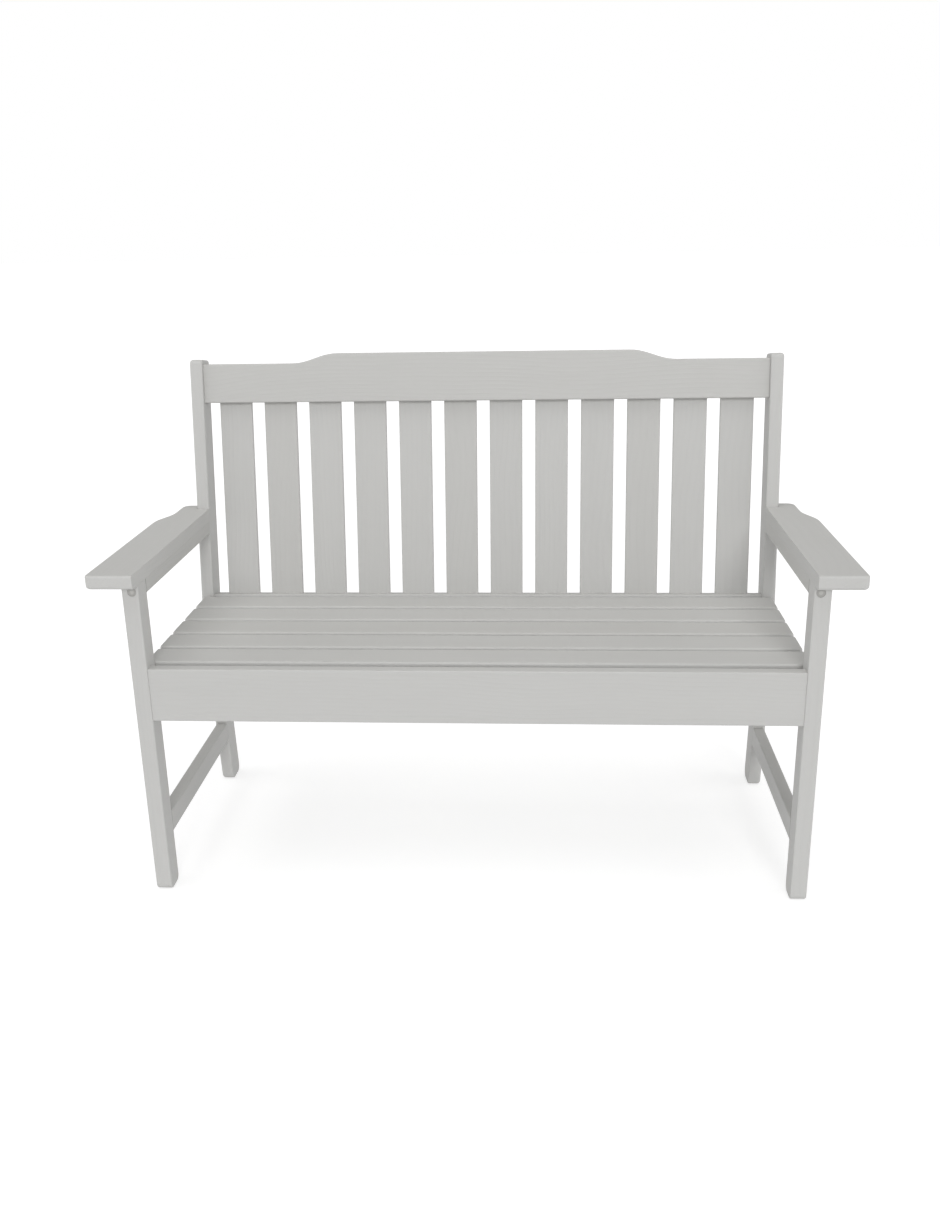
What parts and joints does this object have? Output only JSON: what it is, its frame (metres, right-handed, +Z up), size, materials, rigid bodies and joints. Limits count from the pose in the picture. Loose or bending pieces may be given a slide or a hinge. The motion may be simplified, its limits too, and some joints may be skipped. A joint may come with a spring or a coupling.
{
  "type": "garden bench",
  "caption": "Slatted wooden garden bench with armrests, a leaning back of upright slats under a raised top rail, a front apron and low side stretchers.",
  "frame": {"origin": "centre of the bench's outline at floor level", "axes": "+X along the bench to the right as seen from the front, -Y to the front, +Z up"},
  "size_m": [1.258, 0.5526, 0.897],
  "materials": {
    "frame_paint": "opaque pale warm grey paint, satin, fine grain showing through",
    "slat_paint": "opaque pale warm grey paint, satin, fine grain showing through",
    "plug": "matte, tinted to match the paint",
    "steel": "zinc plated",
    "dowel": "bare beech"
  },
  "bodies": {
    "root": {"left_front_leg": "frame_paint", "left_rear_post": "frame_paint", "left_armrest": "frame_paint", "left_arm_rail": "frame_paint", "left_seat_rail": "frame_paint", "left_side_stretcher": "frame_paint", "right_front_leg": "frame_paint", "right_rear_post": "frame_paint", "right_armrest": "frame_paint", "right_arm_rail": "frame_paint", "right_seat_rail": "frame_paint", "right_side_stretcher": "frame_paint", "front_apron": "frame_paint", "centre_seat_bearer": "frame_paint", "lower_back_rail": "frame_paint", "top_back_rail": "frame_paint", "back_slat_01": "slat_paint", "back_slat_02": "slat_paint", "back_slat_03": "slat_paint", "back_slat_04": "slat_paint", "back_slat_05": "slat_paint", "back_slat_06": "slat_paint", "back_slat_07": "slat_paint", "back_slat_08": "slat_paint", "back_slat_09": "slat_paint", "back_slat_10": "slat_paint", "back_slat_11": "slat_paint", "back_slat_12": "slat_paint", "seat_slat_1": "slat_paint", "seat_slat_2": "slat_paint", "seat_slat_3": "slat_paint", "seat_slat_4": "slat_paint", "seat_slat_5": "slat_paint", "arm_rail_screws": "steel", "front_plugs": "plug", "rear_plugs": "plug", "armrest_screws": "steel", "apron_bolts": "steel", "apron_barrel_nuts": "steel", "back_rail_bolts": "steel", "back_rail_barrel_nuts": "steel", "back_rail_dowels": "dowel", "back_slat_screws": "steel", "seat_slat_screws": "steel"}
  },
  "joints": []
}
